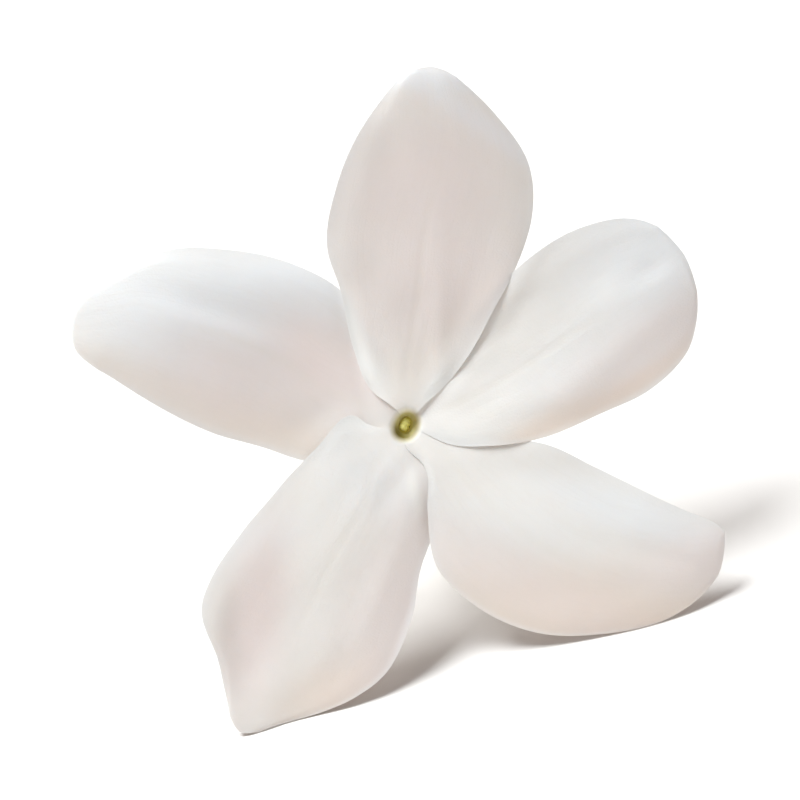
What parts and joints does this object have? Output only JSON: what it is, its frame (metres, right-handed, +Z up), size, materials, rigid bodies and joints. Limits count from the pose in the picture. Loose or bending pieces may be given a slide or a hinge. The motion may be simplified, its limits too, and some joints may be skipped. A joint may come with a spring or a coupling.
{
  "type": "jasmine flower",
  "caption": "Single picked white jasmine flower lying on its side, with overlapping petals on a slender tube, a green calyx and a short cut stalk.",
  "frame": {"origin": "middle of the footprint, on the surface that the picked flower lies on", "axes": "+Z up from that surface; the flower's face looks along -Y and upward, and its tube and stalk run back and down towards +Y; +X is to the right as one looks into the flower"},
  "size_m": [0.0352, 0.0312, 0.0309],
  "materials": {
    "petal": "soft waxy white",
    "calyx": "matt green, finely hairy",
    "stigma": "moist yellow-green",
    "anther": "dusty pale yellow"
  },
  "bodies": {
    "root": {"corolla": "petal", "calyx": "calyx", "pistil": "stigma", "stamen_1": "anther", "stamen_2": "anther"}
  },
  "joints": []
}
